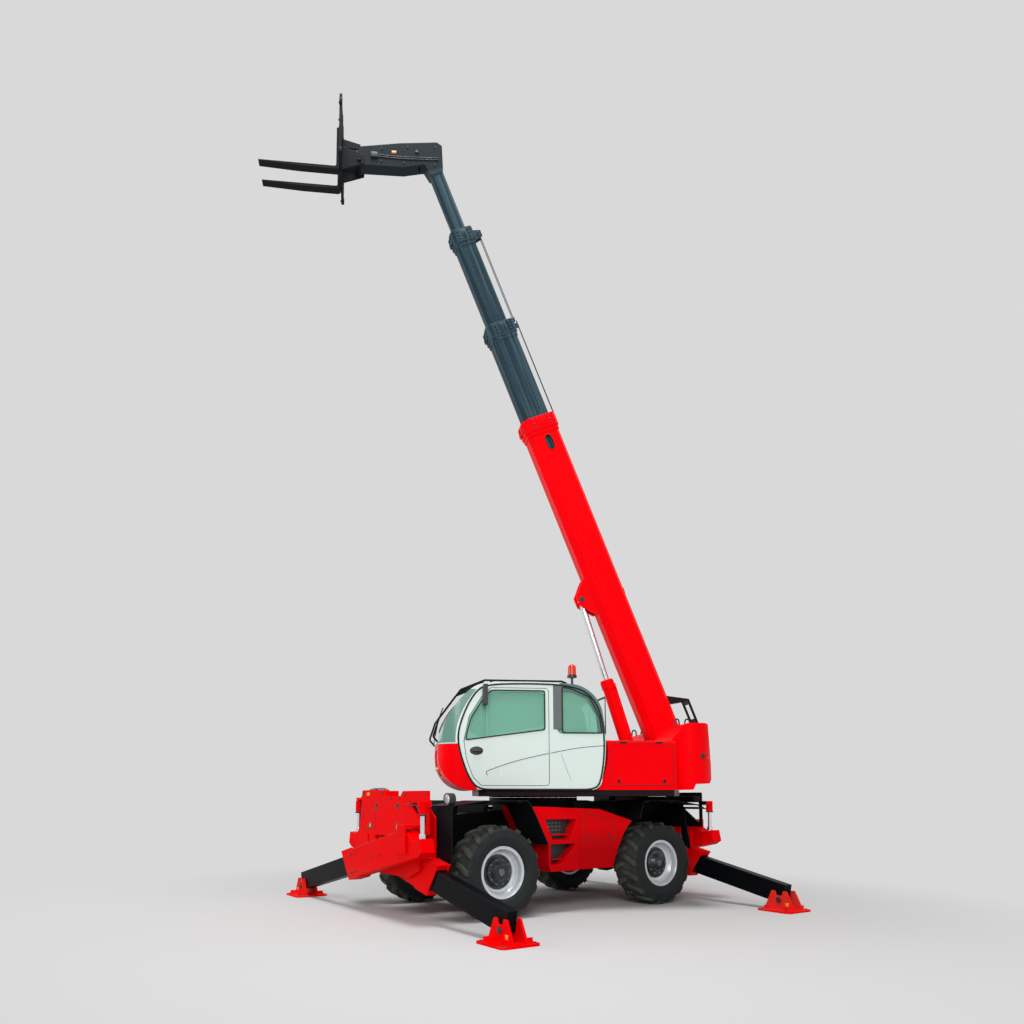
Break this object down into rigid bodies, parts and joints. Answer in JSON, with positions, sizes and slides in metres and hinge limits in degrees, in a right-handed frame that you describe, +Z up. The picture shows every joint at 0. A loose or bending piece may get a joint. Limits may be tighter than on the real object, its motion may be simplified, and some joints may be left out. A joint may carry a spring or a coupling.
{
  "type": "rotating telescopic handler",
  "caption": "Rotating telehandler with slewing turret and cab, telescopic boom with fork carriage, steered wheels and crossed telescopic stabilisers.",
  "frame": {"origin": "middle of the footprint box on the ground", "axes": "+X towards the front of the carrier, +Y to its left, +Z up; the turret stands turned 26 degrees clockwise"},
  "size_m": [6.5708, 5.5, 11.99],
  "materials": {
    "red_paint": "satin",
    "black_paint": "satin",
    "boom_grey": "satin",
    "cab_paint": "gloss",
    "tyre_rubber": "matte",
    "rim_silver": "satin",
    "cab_glass": "gloss",
    "rod_chrome": "polished",
    "lamp_glass": "gloss",
    "beacon_orange": "gloss",
    "interior_plastic": "matte",
    "trim_plastic": "matte",
    "engine": "matte"
  },
  "bodies": {
    "carrier": {"chassis_frame": "black_paint", "axles": "black_paint", "mudguards": "black_paint", "side_box_left": "red_paint", "side_box_right": "red_paint", "front_module": "red_paint", "rear_module": "red_paint", "lamps": "lamp_glass"},
    "turret": {"turret_base": "red_paint", "counterweight": "red_paint", "deck_panel": "red_paint", "engine_hood": "red_paint", "engine_block": "engine", "cab_shell": "cab_paint", "cab_nose": "red_paint", "cab_guard": "black_paint", "cab_glass": "cab_glass", "cab_interior": "interior_plastic", "beacon": "beacon_orange"},
    "cab_door": {"cab_door": "cab_paint", "door_glass": "cab_glass", "mirror": "trim_plastic"},
    "boom": {"boom_outer": "red_paint"},
    "stage_1": {"boom_stage_1": "boom_grey"},
    "stage_2": {"boom_stage_2": "boom_grey"},
    "stage_3": {"boom_stage_3": "boom_grey"},
    "lift_barrel": {"lift_barrel": "red_paint"},
    "lift_rod": {"lift_rod": "rod_chrome"},
    "carriage": {"carriage": "black_paint", "forks": "black_paint"},
    "tilt_barrel": {"tilt_barrel": "black_paint"},
    "tilt_rod": {"tilt_rod": "rod_chrome"},
    "knuckle_front_left": {"knuckle_front_left": "black_paint"},
    "wheel_front_left": {"tyre_front_left": "tyre_rubber", "rim_front_left": "rim_silver"},
    "knuckle_front_right": {"knuckle_front_right": "black_paint"},
    "wheel_front_right": {"tyre_front_right": "tyre_rubber", "rim_front_right": "rim_silver"},
    "knuckle_rear_left": {"knuckle_rear_left": "black_paint"},
    "wheel_rear_left": {"tyre_rear_left": "tyre_rubber", "rim_rear_left": "rim_silver"},
    "knuckle_rear_right": {"knuckle_rear_right": "black_paint"},
    "wheel_rear_right": {"tyre_rear_right": "tyre_rubber", "rim_rear_right": "rim_silver"},
    "stabiliser_housing_front_left": {"stabiliser_housing_front_left": "red_paint"},
    "stabiliser_beam_front_left": {"stabiliser_beam_front_left": "black_paint"},
    "stabiliser_foot_front_left": {"stabiliser_foot_front_left": "red_paint"},
    "stabiliser_jack_rod_front_left": {"stabiliser_jack_rod_front_left": "rod_chrome"},
    "stabiliser_housing_front_right": {"stabiliser_housing_front_right": "red_paint"},
    "stabiliser_beam_front_right": {"stabiliser_beam_front_right": "black_paint"},
    "stabiliser_foot_front_right": {"stabiliser_foot_front_right": "red_paint"},
    "stabiliser_jack_rod_front_right": {"stabiliser_jack_rod_front_right": "rod_chrome"},
    "stabiliser_housing_rear_left": {"stabiliser_housing_rear_left": "red_paint"},
    "stabiliser_beam_rear_left": {"stabiliser_beam_rear_left": "black_paint"},
    "stabiliser_foot_rear_left": {"stabiliser_foot_rear_left": "red_paint"},
    "stabiliser_jack_rod_rear_left": {"stabiliser_jack_rod_rear_left": "rod_chrome"},
    "stabiliser_housing_rear_right": {"stabiliser_housing_rear_right": "red_paint"},
    "stabiliser_beam_rear_right": {"stabiliser_beam_rear_right": "black_paint"},
    "stabiliser_foot_rear_right": {"stabiliser_foot_rear_right": "red_paint"},
    "stabiliser_jack_rod_rear_right": {"stabiliser_jack_rod_rear_right": "rod_chrome"}
  },
  "joints": [
    {"name": "turret_slew", "type": "hinge", "parent": "carrier", "child": "turret", "pos_m": [-0.5474, 0, 1.502], "axis": [0, 0, 1], "continuous": true},
    {"name": "cab_door_hinge", "type": "hinge", "parent": "turret", "child": "cab_door", "pos_m": [0.00802, 1.09315, 2.3], "axis": [0, 0, 1], "range_deg": [0, 95]},
    {"name": "boom_lift", "type": "hinge", "parent": "turret", "child": "boom", "pos_m": [-2.38094, 0.89428, 2.29], "axis": [-0.4384, -0.8988, 0], "range_deg": [-71, 11]},
    {"name": "boom_extend_1", "type": "slide", "parent": "boom", "child": "stage_1", "axis": [0.3279, -0.16, 0.9311], "range_m": [-0.93, 2.8]},
    {"name": "boom_extend_2", "type": "slide", "parent": "stage_1", "child": "stage_2", "axis": [0.3279, -0.16, 0.9311], "range_m": [-0.93, 2.8]},
    {"name": "boom_extend_3", "type": "slide", "parent": "stage_2", "child": "stage_3", "axis": [0.3279, -0.16, 0.9311], "range_m": [-0.93, 2.8]},
    {"name": "carriage_tilt", "type": "hinge", "parent": "stage_3", "child": "carriage", "pos_m": [1.82542, -1.1573, 11.26], "axis": [-0.4384, -0.8988, 0], "range_deg": [-30, 77]},
    {"name": "lift_barrel_swing", "type": "hinge", "parent": "turret", "child": "lift_barrel", "pos_m": [-1.98547, 0.70139, 1.75], "axis": [-0.4384, -0.8988, 0], "range_deg": [-72, 12]},
    {"name": "lift_rod_slide", "type": "slide", "parent": "lift_barrel", "child": "lift_rod", "axis": [0.2632, -0.1283, 0.9562], "range_m": [-0.8257, 0.1288]},
    {"name": "tilt_barrel_swing", "type": "hinge", "parent": "stage_3", "child": "tilt_barrel", "pos_m": [1.03448, -0.77153, 11.5], "axis": [-0.4384, -0.8988, 0], "range_deg": [-11.01, 4.9]},
    {"name": "tilt_rod_slide", "type": "slide", "parent": "tilt_barrel", "child": "tilt_rod", "axis": [0.8983, -0.4381, 0.0329], "range_m": [-0.282, 0.1105]},
    {"name": "steer_front_left", "type": "hinge", "parent": "carrier", "child": "knuckle_front_left", "pos_m": [0.8276, 0.7, 0.577], "axis": [0, 0, 1], "range_deg": [-28, 28]},
    {"name": "wheel_spin_front_left", "type": "hinge", "parent": "knuckle_front_left", "child": "wheel_front_left", "pos_m": [0.8276, 0.995, 0.577], "axis": [0, 1, 0], "continuous": true},
    {"name": "steer_front_right", "type": "hinge", "parent": "carrier", "child": "knuckle_front_right", "pos_m": [0.8276, -0.7, 0.577], "axis": [0, 0, 1], "range_deg": [-28, 28]},
    {"name": "wheel_spin_front_right", "type": "hinge", "parent": "knuckle_front_right", "child": "wheel_front_right", "pos_m": [0.8276, -0.995, 0.577], "axis": [0, 1, 0], "continuous": true},
    {"name": "steer_rear_left", "type": "hinge", "parent": "carrier", "child": "knuckle_rear_left", "pos_m": [-1.9224, 0.7, 0.577], "axis": [0, 0, 1], "range_deg": [-28, 28]},
    {"name": "wheel_spin_rear_left", "type": "hinge", "parent": "knuckle_rear_left", "child": "wheel_rear_left", "pos_m": [-1.9224, 0.995, 0.577], "axis": [0, 1, 0], "continuous": true},
    {"name": "steer_rear_right", "type": "hinge", "parent": "carrier", "child": "knuckle_rear_right", "pos_m": [-1.9224, -0.7, 0.577], "axis": [0, 0, 1], "range_deg": [-28, 28]},
    {"name": "wheel_spin_rear_right", "type": "hinge", "parent": "knuckle_rear_right", "child": "wheel_rear_right", "pos_m": [-1.9224, -0.995, 0.577], "axis": [0, 1, 0], "continuous": true},
    {"name": "stabiliser_swing_front_left", "type": "hinge", "parent": "carrier", "child": "stabiliser_housing_front_left", "pos_m": [1.7126, -0.8, 0.92], "axis": [1, 0, 0], "range_deg": [0, 17]},
    {"name": "stabiliser_extend_front_left", "type": "slide", "parent": "stabiliser_housing_front_left", "child": "stabiliser_beam_front_left", "axis": [0, 0.9788, -0.2047], "range_m": [-1.2, 0]},
    {"name": "stabiliser_foot_pivot_front_left", "type": "hinge", "parent": "stabiliser_beam_front_left", "child": "stabiliser_foot_front_left", "pos_m": [1.7126, 2.5, 0.15], "axis": [1, 0, 0], "range_deg": [-20, 20]},
    {"name": "stabiliser_jack_front_left", "type": "slide", "parent": "carrier", "child": "stabiliser_jack_rod_front_left", "axis": [0, 0, 1], "range_m": [-0.1, 0]},
    {"name": "stabiliser_swing_front_right", "type": "hinge", "parent": "carrier", "child": "stabiliser_housing_front_right", "pos_m": [1.9406, 0.8, 0.92], "axis": [-1, 0, 0], "range_deg": [0, 17]},
    {"name": "stabiliser_extend_front_right", "type": "slide", "parent": "stabiliser_housing_front_right", "child": "stabiliser_beam_front_right", "axis": [0, -0.9788, -0.2047], "range_m": [-1.2, 0]},
    {"name": "stabiliser_foot_pivot_front_right", "type": "hinge", "parent": "stabiliser_beam_front_right", "child": "stabiliser_foot_front_right", "pos_m": [1.9406, -2.5, 0.15], "axis": [1, 0, 0], "range_deg": [-20, 20]},
    {"name": "stabiliser_jack_front_right", "type": "slide", "parent": "carrier", "child": "stabiliser_jack_rod_front_right", "axis": [0, 0, 1], "range_m": [-0.1, 0]},
    {"name": "stabiliser_swing_rear_left", "type": "hinge", "parent": "carrier", "child": "stabiliser_housing_rear_left", "pos_m": [-2.8074, -0.8, 0.92], "axis": [1, 0, 0], "range_deg": [0, 17]},
    {"name": "stabiliser_extend_rear_left", "type": "slide", "parent": "stabiliser_housing_rear_left", "child": "stabiliser_beam_rear_left", "axis": [0, 0.9788, -0.2047], "range_m": [-1.2, 0]},
    {"name": "stabiliser_foot_pivot_rear_left", "type": "hinge", "parent": "stabiliser_beam_rear_left", "child": "stabiliser_foot_rear_left", "pos_m": [-2.8074, 2.5, 0.15], "axis": [1, 0, 0], "range_deg": [-20, 20]},
    {"name": "stabiliser_jack_rear_left", "type": "slide", "parent": "carrier", "child": "stabiliser_jack_rod_rear_left", "axis": [0, 0, 1], "range_m": [-0.1, 0]},
    {"name": "stabiliser_swing_rear_right", "type": "hinge", "parent": "carrier", "child": "stabiliser_housing_rear_right", "pos_m": [-3.0354, 0.8, 0.92], "axis": [-1, 0, 0], "range_deg": [0, 17]},
    {"name": "stabiliser_extend_rear_right", "type": "slide", "parent": "stabiliser_housing_rear_right", "child": "stabiliser_beam_rear_right", "axis": [0, -0.9788, -0.2047], "range_m": [-1.2, 0]},
    {"name": "stabiliser_foot_pivot_rear_right", "type": "hinge", "parent": "stabiliser_beam_rear_right", "child": "stabiliser_foot_rear_right", "pos_m": [-3.0354, -2.5, 0.15], "axis": [1, 0, 0], "range_deg": [-20, 20]},
    {"name": "stabiliser_jack_rear_right", "type": "slide", "parent": "carrier", "child": "stabiliser_jack_rod_rear_right", "axis": [0, 0, 1], "range_m": [-0.1, 0]}
  ],
  "couplings": [
    {"joint": "boom_extend_2", "follows": "boom_extend_1", "ratio": 1},
    {"joint": "boom_extend_3", "follows": "boom_extend_1", "ratio": 1},
    {"joint": "lift_barrel_swing", "follows": "boom_lift", "ratio": 1},
    {"joint": "lift_rod_slide", "follows": "boom_lift", "m_per_rad": 0.65244},
    {"joint": "tilt_barrel_swing", "follows": "carriage_tilt", "ratio": -0.13},
    {"joint": "tilt_rod_slide", "follows": "carriage_tilt", "m_per_rad": -0.205},
    {"joint": "steer_front_right", "follows": "steer_front_left", "ratio": 1},
    {"joint": "steer_rear_right", "follows": "steer_rear_left", "ratio": 1},
    {"joint": "stabiliser_jack_front_left", "follows": "stabiliser_swing_front_left", "m_per_rad": -0.327},
    {"joint": "stabiliser_jack_front_right", "follows": "stabiliser_swing_front_right", "m_per_rad": -0.327},
    {"joint": "stabiliser_jack_rear_left", "follows": "stabiliser_swing_rear_left", "m_per_rad": -0.327},
    {"joint": "stabiliser_jack_rear_right", "follows": "stabiliser_swing_rear_right", "m_per_rad": -0.327}
  ]
}
